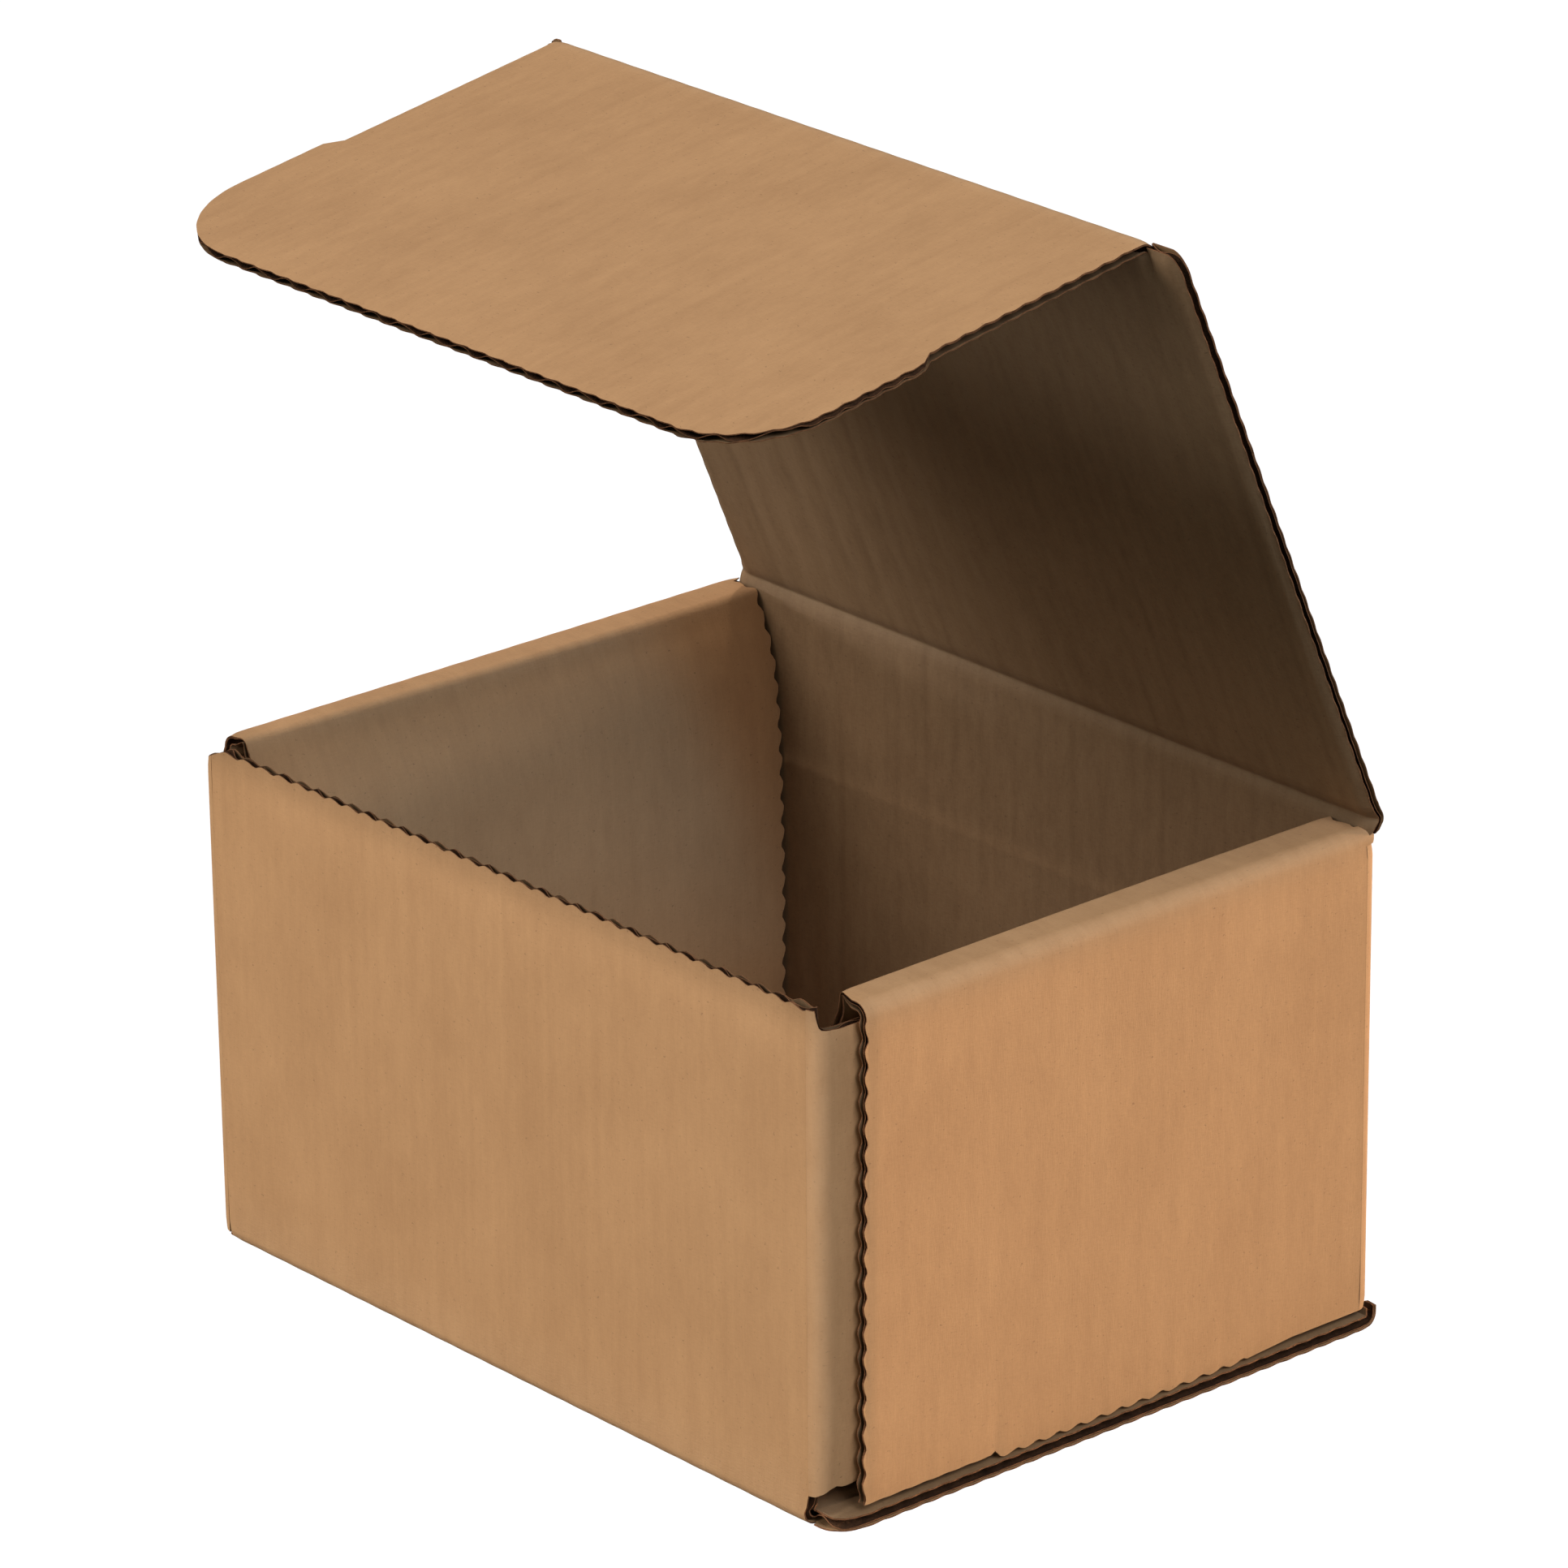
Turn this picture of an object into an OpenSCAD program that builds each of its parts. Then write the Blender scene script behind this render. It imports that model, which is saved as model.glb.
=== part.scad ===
// One-piece die-cut mailer box of corrugated board, folded up with its lid open.
// Millimetres. Origin: middle of the tray's footprint, on its underside. Front is -Y, up is +Z.

/* [Board] */
// Thickness of the single-wall board
board_t = 2.4; // [2:0.1:2.8]
// Gap between two plies that lie against one another
ply_gap = 0.1; // [0.05:0.05:0.3]
// Outside radius of a square crease
crease_r = 2; // [1:0.1:2]
// Length of one scallop left by the serrated knife on a cut edge
cut_pitch = 3.9; // [3:0.1:8]
// Depth of those scallops from crest to root
cut_depth = 0.7; // [0.1:0.1:1]
// Share of that depth on the smoother cuts at the sides of the lid, tuck flap and bottom
smooth_share = 0.3; // [0.1:0.1:1]

/* [Tray] */
// Outside length, over both side walls
box_l = 141.8; // [110:0.2:220]
// Outside width, from front wall to back wall
box_w = 106.2; // [90:0.2:180]
// Height of the rolled side walls
box_h = 80; // [65:0.5:140]
// How far the front wall's top edge stays below the side walls
front_drop = 0.3; // [0:0.1:3]
// How far the front wall's top edge stops short of each corner crease's outer face
front_top_short = 2.3; // [2.2:0.1:8]
// Depth of the relief where the front wall's top edge meets its corner creases
front_relief = 3.4; // [1:0.1:5]
// How far the front crease stops short of the side walls' outer faces
crease_short = 5.9; // [5.6:0.1:12]
// How far the cut ends of the back crease stick out behind the back wall
lip_out = 1.2; // [0.5:0.1:2.2]
// Height of those turned-up ends
lip_h = 3.4; // [2.9:0.1:6]

/* [Side walls] */
// Play that widens the rolled top edge beyond its three plies
roll_slack = 1.6; // [0:0.1:3]
// Width of the flat between the roll's two creases
roll_flat = 1.8; // [0.2:0.1:2]
// Setback of the left outer ply's front edge from the front face
outer_setback_left = 5.4; // [4:0.1:8]
// Setback of the right outer ply's front edge from the front face
outer_setback_right = 7.1; // [4:0.1:8]
// Setback of the inner plies' front edges from the front face
inner_setback = 9; // [8:0.1:16]
// Clearance of the inner ply to the back wall
inner_back_gap = 0.5; // [0.2:0.1:3]
// How far the inner ply's foot leans into the box
inner_lean = 5; // [0.5:0.1:8]
// Height of the outer ply's foot above the bottom ply, at its two ends
foot_lift = 1.1; // [0.6:0.1:3]
// Distance from the front face to the stretch where the outer ply stands on the bottom ply
foot_front = 31.4; // [15:0.2:40]
// Distance from the back face to the end of that stretch
foot_back = 25.1; // [18:0.2:40]
// Length of the slope from that stretch up to the lifted back end
foot_slope = 9; // [2:0.5:14]
// Length of the tab under the inner ply
tab_l = 38; // [20:1:60]
// Clearance of the tab in its slot in the bottom
tab_gap = 0.3; // [0.15:0.05:0.8]

/* [Corner flaps] */
// Length of a corner flap from the front face
flap_l = 42; // [25:1:60]
// Height of a corner flap's lower edge above the ground
flap_foot = 5.4; // [3.5:0.1:10]
// Corner radius at a corner flap's free end
flap_corner_r = 6; // [2:0.5:12]

/* [Lid] */
// How far the lid's left edge stays inside the left wall's outer face
lid_in_left = 4.1; // [0:0.1:6]
// How far the lid's right edge stays inside the right wall's outer face
lid_in_right = 0; // [0:0.1:5]
// Corner radius of the lid beside the tuck flap
lid_corner_r = 2.5; // [0.5:0.1:2.6]
// How far the lid's front edge beside the tuck flap stands out past the crease
lid_corner_out = 0.4; // [0:0.1:1]
// Clearance between the closed lid and the side walls
lid_gap = 0.2; // [0.1:0.1:1]
// How far the lid is open, from closed
lid_open = 67.4; // [20:0.2:150]

/* [Tuck flap] */
// Clearance between the ends of the tuck flap's crease and the lid's corners
tuck_side_gap = 0.3; // [0.2:0.05:0.6]
// Clearance between an ear of the tuck flap and its corner flap
ear_gap = 0.5; // [0.4:0.1:3]
// How far an ear stands out from the tuck flap's neck
ear_out = 1.9; // [0.5:0.1:4]
// Distance from the crease to the step of the ears
ear_from = 43; // [25:0.5:48]
// Clearance between the tucked flap's free edge and the bottom
tuck_foot_gap = 2.7; // [1:0.1:15]
// Corner radius at the free edge
tuck_corner_r = 15; // [5:0.5:16]
// How far the tuck flap is folded in, from flat
tuck_fold = 76.8; // [20:0.2:99]
// Largest fold of the tuck flap, for which its crease is bevelled
tuck_fold_max = 102; // [95:1:120]

/* [Hidden] */
kraft = "#b98d61";
kraft_inside = "#a98160";
// running clearance between the two halves of a hinge crease
hinge_gap = 0.1;
// how far a crease runs on into the flat panels beside it
lap = 0.2;
// points that shape one scallop
scallop_steps = 4;
// levels that shape the lean of an inner ply
lean_steps = 10;
// how much of an inner ply's lean lies near its top
lean_power = 16;
round_fn = 48;
// more than any panel, for cutting through
far = 400;
half_t = board_t / 2;
half_cut = cut_depth / 2;
half_l = box_l / 2;
half_w = box_w / 2;
// outer faces of the corner flaps, inside the side walls
flap_x = half_l - board_t - ply_gap;
// a side wall's roll over its outer ply, a corner flap and its inner ply
roll_w = 3 * board_t + 2 * ply_gap + roll_slack;
roll_r = (roll_w - roll_flat) / 2;
roll_z = box_h - roll_r;
// inner faces of the side walls, at the top
inner_x = half_l - roll_w;
front_top_x = flap_x - front_top_short;
front_top_z = box_h - front_drop;
relief_z = front_top_z - front_relief;
crease_x = half_l - crease_short;
// mean line of the bottom ply's cut side edges
side_cut_x = half_l - smooth_share * half_cut;
// inner ends of the turned-up ends of the back crease
lip_x = half_l - board_t - lap;
foot_z = board_t + foot_lift;
rest_z = board_t + ply_gap + half_cut;
rest_front_y = foot_front - half_w;
rest_back_y = half_w - foot_back;
inner_foot_z = board_t + tab_gap;
inner_back_y = half_w - board_t - inner_back_gap;
// hinge axis of the lid, in the middle of the board's thickness
hinge_y = half_w - half_t;
hinge_z = box_h + lid_gap + half_t;
back_top_z = hinge_z - half_t - hinge_gap;
// the tucked flap lies behind the front wall, which sets the length of the lid
lid_l = box_w - 2 * board_t - ply_gap;
lid_left = half_l - lid_in_left;
lid_right = half_l - lid_in_right;
ear_w = 2 * (flap_x - board_t - ear_gap);
tuck_w = ear_w - 2 * ear_out;
tuck_l = hinge_z - board_t - tuck_foot_gap;
// half the width of the notch in the lid's front edge that the tuck flap's crease lies in
neck_x = tuck_w / 2 + tuck_side_gap;

// height of one scallop at step i, from root to crest
function scallop(i) = sin(360 * i / scallop_steps) * half_cut;
// number of whole scallops that fit a cut edge
function scallops(length) = max(1, round(length / cut_pitch));

// points of a serrated cut from a up to, but without, b, with the board on its left
function cut_line(a, b, share = 1) =
    let (run = b - a, length = norm(run), out = [run.y, -run.x] / length)
    let (n = scallops(length) * scallop_steps)
    [for (i = [0:n - 1]) a + run * i / n + out * share * scallop(i)];

// points of a serrated round cut about c, from angle a0 up to, but without, a1
function cut_arc(c, r, a0, a1, share = 1) =
    let (n = scallops(r * PI * abs(a1 - a0) / 180) * scallop_steps)
    [for (i = [0:n - 1])
        let (a = a0 + (a1 - a0) * i / n)
        c + (r + share * scallop(i)) * [cos(a), sin(a)]];

function mirrored(points) = [for (i = [len(points) - 1:-1:0]) [-points[i].x, points[i].y]];

// how far the inner ply leans in at height z
function lean(z) =
    let (up = max(0, z - inner_foot_z) / (roll_z - lap - inner_foot_z))
    inner_lean * (1 - pow(min(1, up), lean_power));

// a flat panel in the XZ plane, its faces at y and y + board_t
module panel_xz(y, outline) {
    translate([0, y + board_t, 0])
        rotate([90, 0, 0])
            linear_extrude(board_t)
                polygon(outline);
}

// a flat panel in the YZ plane, its faces at x and x + board_t
module panel_yz(x, outline) {
    translate([x, 0, 0])
        rotate([90, 0, 90])
            linear_extrude(board_t)
                polygon(outline);
}

// section of a square crease, its rounded outside corner at the origin
module crease_section() {
    difference() {
        union() {
            square([board_t + lap, board_t]);
            square([board_t, board_t + lap]);
        }
        difference() {
            square(crease_r);
            translate([crease_r, crease_r])
                circle(crease_r, $fn = round_fn);
        }
    }
}

// right half of the bottom's outline, from the front crease to the back crease
function bottom_right() = concat(
    [[crease_x, board_t - half_w]],
    cut_arc([crease_x, crease_short - half_w], side_cut_x - crease_x, -80, 0, smooth_share),
    cut_line([side_cut_x, crease_short - half_w], [side_cut_x, half_w - board_t], smooth_share),
    [[side_cut_x, half_w - board_t], [side_cut_x, half_w - board_t + lip_out]],
    [[lip_x, half_w - board_t + lip_out], [lip_x, half_w - board_t]]
);

module bottom() {
    difference() {
        linear_extrude(board_t)
            polygon(concat(bottom_right(), mirrored(bottom_right())));
        for (side = [-1, 1])
            translate([side * (inner_x + half_t - inner_lean), 0, half_t])
                cube([board_t + 2 * tab_gap, tab_l + 2 * tab_gap, 2 * board_t], center = true);
    }
    // crease up into the front wall
    translate([-crease_x, -half_w, 0])
        rotate([90, 0, 90])
            linear_extrude(2 * crease_x)
                crease_section();
    // crease up into the back wall
    translate([half_l - board_t, half_w, 0])
        rotate([90, 0, -90])
            linear_extrude(2 * (half_l - board_t))
                crease_section();
    // turned-up cut end of the back crease
    for (side = [-1, 1])
        mirror([side > 0 ? 0 : 1, 0, 0])
            translate([side_cut_x, half_w + lip_out, 0])
                rotate([90, 0, -90])
                    linear_extrude(side_cut_x - lip_x) {
                        crease_section();
                        translate([0, crease_r])
                            square([board_t, lip_h - crease_r]);
                    }
}

// right half of the front wall's outline, from its foot to its top edge
function front_right() = [
    [crease_x, board_t],
    [(crease_x + flap_x - board_t) / 2, board_t + 0.7 * (flap_foot - board_t)],
    [flap_x - board_t, flap_foot],
    [flap_x - board_t, relief_z - lap],
    [front_top_x + 0.1 * front_relief, relief_z - lap],
    [front_top_x, front_top_z - 0.3 * front_relief]
];

// outline of a corner flap behind the side wall, in the YZ plane
function flap_outline() =
    let (end_y = flap_l - half_w, low = flap_foot + flap_corner_r, high = relief_z - flap_corner_r)
    concat(
        cut_line([board_t - half_w, flap_foot], [end_y - flap_corner_r, flap_foot]),
        cut_arc([end_y - flap_corner_r, low], flap_corner_r, -90, 0),
        cut_line([end_y, low], [end_y, high]),
        cut_arc([end_y - flap_corner_r, high], flap_corner_r, 0, 90),
        [[end_y - flap_corner_r, relief_z], [board_t - half_w, relief_z]]
    );

module front_wall() {
    top = cut_line([front_top_x, front_top_z], [-front_top_x, front_top_z]);
    panel_xz(-half_w, concat(front_right(), top, mirrored(front_right())));
    for (side = [-1, 1]) {
        // crease round into the corner flap
        translate([side * flap_x, -half_w, flap_foot])
            mirror([side > 0 ? 1 : 0, 0, 0])
                linear_extrude(relief_z - flap_foot)
                    crease_section();
        panel_yz(side > 0 ? flap_x - board_t : -flap_x, flap_outline());
    }
}

// outline of a side wall's outer ply, in the YZ plane
function outer_outline(front_y) = concat(
    [[half_w - board_t, roll_z], [front_y, roll_z]],
    cut_line([front_y, roll_z - lap], [front_y, foot_z]),
    cut_line([front_y, foot_z], [rest_front_y, foot_z]),
    [[rest_front_y, foot_z + half_cut]],
    cut_line([rest_front_y + foot_lift, rest_z], [rest_back_y, rest_z]),
    [[rest_back_y, rest_z], [rest_back_y + foot_slope, foot_z], [half_w - board_t, foot_z]]
);

// outline of a side wall's inner ply with its tab, in the YZ plane
function inner_outline() =
    let (front_y = inner_setback - half_w)
    concat(
        cut_line([inner_back_y, inner_foot_z], [inner_back_y, roll_z - lap]),
        [[inner_back_y, roll_z - lap], [inner_back_y, roll_z], [front_y, roll_z]],
        cut_line([front_y, roll_z - lap], [front_y, inner_foot_z]),
        [[front_y, inner_foot_z], [-tab_l / 2, inner_foot_z], [-tab_l / 2, tab_gap]],
        [[tab_l / 2, tab_gap], [tab_l / 2, inner_foot_z]]
    );

// section of the left inner ply, leaning in from the roll to its foot, in the XZ plane
module inner_section() {
    drop = roll_z - inner_foot_z - lap;
    levels = concat([0], [for (i = [lean_steps:-1:0]) roll_z - lap - drop * pow(i / lean_steps, 2)], [roll_z]);
    outer = [for (z = levels) [-inner_x - board_t + lean(z), z]];
    inner = [for (i = [len(levels) - 1:-1:0]) outer[i] + [board_t, 0]];
    polygon(concat(outer, inner));
}

// section of the roll over a side wall's top, its outer face at x = 0
module roll_section() {
    difference() {
        union() {
            for (x = [roll_r, roll_w - roll_r])
                translate([x, 0])
                    circle(roll_r, $fn = round_fn);
            translate([roll_r, 0])
                square([roll_w - 2 * roll_r, roll_r]);
        }
        for (x = [roll_r, roll_w - roll_r])
            translate([x, 0])
                circle(roll_r - board_t, $fn = round_fn);
        translate([roll_r, 0])
            square([roll_w - 2 * roll_r, roll_r - board_t]);
        translate([-roll_r, -2 * roll_r])
            square([roll_w + 2 * roll_r, 2 * roll_r]);
    }
    for (x = [0, roll_w - board_t])
        translate([x, -lap])
            square([board_t, lap]);
}

// plan of the roll, its front end on the skew between the two setbacks
module roll_plan(front_y) {
    polygon([
        [-far, front_y],
        [-half_l + roll_r, front_y],
        [-inner_x, inner_setback - half_w],
        [0, inner_setback - half_w],
        [0, inner_back_y],
        [-far, inner_back_y]
    ]);
}

// a left side wall: outer ply, roll and inner ply
module side_wall(front_y) {
    panel_yz(-half_l, outer_outline(front_y));
    intersection() {
        translate([0, half_w, 0])
            rotate([90, 0, 0])
                linear_extrude(box_w)
                    inner_section();
        translate([-far, 0, 0])
            rotate([90, 0, 90])
                linear_extrude(far)
                    polygon(inner_outline());
    }
    intersection() {
        translate([-half_l, half_w, roll_z])
            rotate([90, 0, 0])
                linear_extrude(box_w)
                    roll_section();
        linear_extrude(far)
            roll_plan(front_y);
    }
    // crease round into the back wall
    translate([-half_l, half_w, foot_z])
        mirror([0, 1, 0])
            linear_extrude(roll_z - foot_z)
                crease_section();
}

module back_wall() {
    half_back = half_l - board_t;
    translate([-half_back, half_w - board_t, board_t])
        cube([2 * half_back, board_t, back_top_z - board_t]);
}

module tray() {
    color(kraft) {
        bottom();
        front_wall();
        back_wall();
        side_wall(outer_setback_left - half_w);
        mirror([1, 0, 0])
            side_wall(outer_setback_right - half_w);
    }
}

// section of the lid across its hinge, without end at its front
module lid_section() {
    translate([-far, -half_t])
        square([far, board_t]);
    circle(half_t, $fn = round_fn);
}

// section of the bevel that lets the tuck flap fold past square
module tuck_bevel() {
    tilt = tuck_fold_max - 90;
    reach = half_t + hinge_gap;
    // where the bevel leaves the lid's end face, and where it meets the inner face
    bevel_z = reach * (1 - cos(tilt)) / sin(tilt);
    bevel_y = (reach + half_t * sin(tilt)) / cos(tilt);
    polygon([
        [-lid_l + reach, -bevel_z],
        [-lid_l, -bevel_z],
        [-lid_l, -board_t],
        [-lid_l + bevel_y, -board_t],
        [-lid_l + bevel_y, -half_t]
    ]);
}

// outline of the lid's half on the +X side, its cut edge at x = side_x, hinge at y = 0
function lid_half(side_x) =
    let (front_y = -lid_l - lid_corner_out)
    concat(
        [[neck_x, -lid_l + half_t + hinge_gap], [neck_x, front_y]],
        cut_arc([side_x - lid_corner_r, front_y + lid_corner_r], lid_corner_r, -90, 0, smooth_share),
        cut_line([side_x, front_y + lid_corner_r], [side_x, -board_t], smooth_share),
        [[side_x, -board_t], [side_x - board_t, board_t]]
    );

module lid() {
    outline = concat(lid_half(lid_right), mirrored(lid_half(lid_left)));
    color(kraft_inside)
        translate([0, hinge_y, hinge_z])
            rotate([-lid_open, 0, 0])
                difference() {
                    intersection() {
                        translate([-far / 2, 0, 0])
                            rotate([90, 0, 90])
                                linear_extrude(far)
                                    lid_section();
                        translate([0, 0, -board_t])
                            linear_extrude(2 * board_t)
                                polygon(outline);
                    }
                    translate([-neck_x, 0, 0])
                        rotate([90, 0, 90])
                            linear_extrude(2 * neck_x)
                                tuck_bevel();
                }
}

// right half of the tuck flap's outline, crease at y = 0
function tuck_right() = concat(
    cut_arc([ear_w / 2 - tuck_corner_r, tuck_corner_r - tuck_l], tuck_corner_r, -90, 0, smooth_share),
    cut_line([ear_w / 2, tuck_corner_r - tuck_l], [ear_w / 2, -ear_from], smooth_share),
    cut_line([tuck_w / 2, ear_out - ear_from], [tuck_w / 2, -board_t], smooth_share),
    [[tuck_w / 2, -board_t], [tuck_w / 2, 0]]
);

module tuck_flap() {
    corner_x = ear_w / 2 - tuck_corner_r;
    free_edge = cut_line([-corner_x, -tuck_l], [corner_x, -tuck_l], smooth_share);
    color(kraft)
        translate([0, hinge_y, hinge_z])
            rotate([-lid_open, 0, 0])
                translate([0, -lid_l, 0])
                    rotate([tuck_fold, 0, 0]) {
                        translate([0, 0, -half_t])
                            linear_extrude(board_t)
                                polygon(concat(free_edge, tuck_right(), mirrored(tuck_right())));
                        translate([-tuck_w / 2, 0, 0])
                            rotate([0, 90, 0])
                                cylinder(h = tuck_w, r = half_t, $fn = round_fn);
                    }
}

tray();
lid();
tuck_flap();
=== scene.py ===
import math

import bmesh
import bpy
import numpy as np
from mathutils import Matrix, Vector


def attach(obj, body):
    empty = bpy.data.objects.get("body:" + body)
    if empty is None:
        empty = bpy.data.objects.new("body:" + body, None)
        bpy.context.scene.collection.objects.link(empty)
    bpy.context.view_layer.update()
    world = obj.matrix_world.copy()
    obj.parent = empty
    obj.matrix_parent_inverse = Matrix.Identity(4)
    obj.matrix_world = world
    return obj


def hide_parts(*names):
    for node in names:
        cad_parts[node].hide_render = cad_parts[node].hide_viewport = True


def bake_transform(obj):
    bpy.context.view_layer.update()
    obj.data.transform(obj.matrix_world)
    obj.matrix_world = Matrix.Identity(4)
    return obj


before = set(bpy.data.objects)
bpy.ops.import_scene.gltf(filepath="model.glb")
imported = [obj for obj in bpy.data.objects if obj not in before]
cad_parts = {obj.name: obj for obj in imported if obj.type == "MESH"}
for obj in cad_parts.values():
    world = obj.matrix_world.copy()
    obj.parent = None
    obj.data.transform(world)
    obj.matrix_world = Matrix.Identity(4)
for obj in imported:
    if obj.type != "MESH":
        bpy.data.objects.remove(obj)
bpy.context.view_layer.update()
mm = 0.001
print("frame loaded:", sorted(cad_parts))

# lengths are in millimetres here, and become metres when a mesh is made
board = {
    "thick": 2.4,
    "liner": 0.3,  # thickness of a liner
    "wave": 0.22,  # thickness of the waved paper between the liners
    "flutePitch": 6.5,
    "fluteSteps": 8,  # cuts in one flute
    "washboard": 0.035,  # how far the liners sink between two flutes
    "cutPitch": 3.9,  # one scallop of the serrated knife
    "cutDepth": 0.7,
    "cutSkew": 0.18,  # a half-length wave that makes the scallops uneven
    "cutPhase": 0.6,
    "scallopSteps": 6,
    "creaseRadius": 2.4,
}
box = {"halfL": 70.9, "halfW": 53.1, "height": 80.0}
halfCut = board["cutDepth"] / 2


def scallop(i):
    turn = 2 * math.pi * i / board["scallopSteps"]
    return halfCut * (math.sin(turn) + board["cutSkew"] * math.sin(2 * turn + board["cutPhase"]))


# points of a serrated cut from a up to, but without, b, with the board on its left
# depth is its share of the full scallops
def cutLine(a, b, depth=1.0):
    run = (b[0] - a[0], b[1] - a[1])
    length = math.hypot(*run)
    out = (run[1] / length, -run[0] / length)
    count = max(1, round(length / board["cutPitch"])) * board["scallopSteps"]
    made = []
    for i in range(count):
        far = scallop(i) * depth
        made.append((a[0] + run[0] * i / count + out[0] * far, a[1] + run[1] * i / count + out[1] * far))
    return made


# points of a serrated round cut about c, from angle a0 up to, but without, a1, in degrees
def cutArc(c, radius, a0, a1, depth=1.0):
    length = radius * math.radians(abs(a1 - a0))
    count = max(1, round(length / board["cutPitch"])) * board["scallopSteps"]
    made = []
    for i in range(count):
        angle = math.radians(a0 + (a1 - a0) * i / count)
        r = radius + scallop(i) * depth
        made.append((c[0] + r * math.cos(angle), c[1] + r * math.sin(angle)))
    return made


def mirrored(points):
    return [(-s, t) for s, t in reversed(points)]


def smooth(x):
    x = np.clip(x, 0, 1)
    return x * x * (3 - 2 * x)


# the line that the board's outer face follows across its folds, the board on its left
class FoldPath:
    def __init__(self, start, heading):
        self.rows = [(0.0, start[0], start[1], math.radians(heading))]

    def run(self, length, count=1):
        for _ in range(count):
            at, a, b, heading = self.rows[-1]
            step = length / count
            self.rows.append((at + step, a + step * math.cos(heading), b + step * math.sin(heading), heading))
        return self

    def turn(self, radius, degrees, count=9):
        at, a, b, heading = self.rows[-1]
        centre = (a - radius * math.sin(heading), b + radius * math.cos(heading))
        for i in range(1, count + 1):
            angle = heading + math.radians(degrees) * i / count
            self.rows.append((
                at + radius * math.radians(abs(degrees)) * i / count,
                centre[0] + radius * math.sin(angle),
                centre[1] - radius * math.cos(angle),
                angle,
            ))
        return self

    # a soft curve through points
    def through(self, points, steps=5):
        known = [self.rows[-1][1:3]] + points
        known = [known[0]] + known + [known[-1]]
        for i in range(1, len(known) - 2):
            p0, p1, p2, p3 = (np.array(p) for p in known[i - 1:i + 3])
            for k in range(1, steps + 1):
                x = k / steps
                here = 0.5 * (2 * p1 + (p2 - p0) * x + (2 * p0 - 5 * p1 + 4 * p2 - p3) * x ** 2
                              + (3 * p1 - p0 - 3 * p2 + p3) * x ** 3)
                at, a, b, _ = self.rows[-1]
                step = here - np.array((a, b))
                heading = math.atan2(step[1], step[0])
                while heading < self.rows[-1][3] - math.pi:
                    heading += 2 * math.pi
                self.rows.append((at + float(np.hypot(*step)), float(here[0]), float(here[1]), heading))
        return self

    def length(self):
        return self.rows[-1][0]

    def cuts(self):
        return [row[0] for row in self.rows[1:-1]]

    # where the board's point at length t and depth h under its outer face lies
    def place(self, t, h):
        rows = np.array(self.rows)
        heading = np.interp(t, rows[:, 0], rows[:, 3])
        a = np.interp(t, rows[:, 0], rows[:, 1]) - h * np.sin(heading)
        b = np.interp(t, rows[:, 0], rows[:, 2]) + h * np.cos(heading)
        past = t - np.clip(t, rows[0, 0], rows[-1, 0])
        return a + past * np.cos(heading), b + past * np.sin(heading)


# a shader socket whose sums are written as plain maths
class Value:
    def __init__(self, tree, socket):
        self.tree = tree
        self.socket = socket

    def sum(self, operation, *others, clamp=False):
        node = self.tree.nodes.new("ShaderNodeMath")
        node.operation = operation
        node.use_clamp = clamp
        for slot, value in zip(node.inputs, (self, *others)):
            link(self.tree, slot, value)
        return Value(self.tree, node.outputs[0])

    def __add__(self, other):
        return self.sum("ADD", other)

    def __radd__(self, other):
        return self.sum("ADD", other)

    def __sub__(self, other):
        return self.sum("SUBTRACT", other)

    def __rsub__(self, other):
        return (self * -1).sum("ADD", other)

    def __mul__(self, other):
        return self.sum("MULTIPLY", other)

    def __rmul__(self, other):
        return self.sum("MULTIPLY", other)

    def __truediv__(self, other):
        return self.sum("DIVIDE", other)

    def __pow__(self, other):
        return self.sum("POWER", other)

    def sine(self):
        return self.sum("SINE")

    def clamped(self):
        return self.sum("ADD", 0.0, clamp=True)


def link(tree, slot, value):
    if isinstance(value, Value):
        tree.links.new(slot, value.socket)
    elif isinstance(value, bpy.types.NodeSocket):
        tree.links.new(slot, value)
    else:
        slot.default_value = value


# one way to make any other node: its type, its settings, its sockets, the output that is wanted
def addNode(tree, kind, settings=None, inputs=None, output=0):
    node = tree.nodes.new(kind)
    for name, value in (settings or {}).items():
        setattr(node, name, value)
    for name, value in (inputs or {}).items():
        link(tree, node.inputs[name], value)
    return Value(tree, node.outputs[output]) if node.outputs else None


def newMaterial(name):
    material = bpy.data.materials.new(name)
    material.use_nodes = True
    tree = material.node_tree
    tree.nodes.clear()
    return material, tree


def closeMaterial(tree, colour, roughness, height, bumpSettings, specular):
    normal = addNode(tree, "ShaderNodeBump", None, {"Height": height, **bumpSettings})
    shader = addNode(tree, "ShaderNodeBsdfPrincipled", None, {
        "Base Color": colour,
        "Roughness": roughness,
        "Normal": normal,
        "Specular IOR Level": specular,
    })
    addNode(tree, "ShaderNodeOutputMaterial", None, {"Surface": shader})


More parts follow.
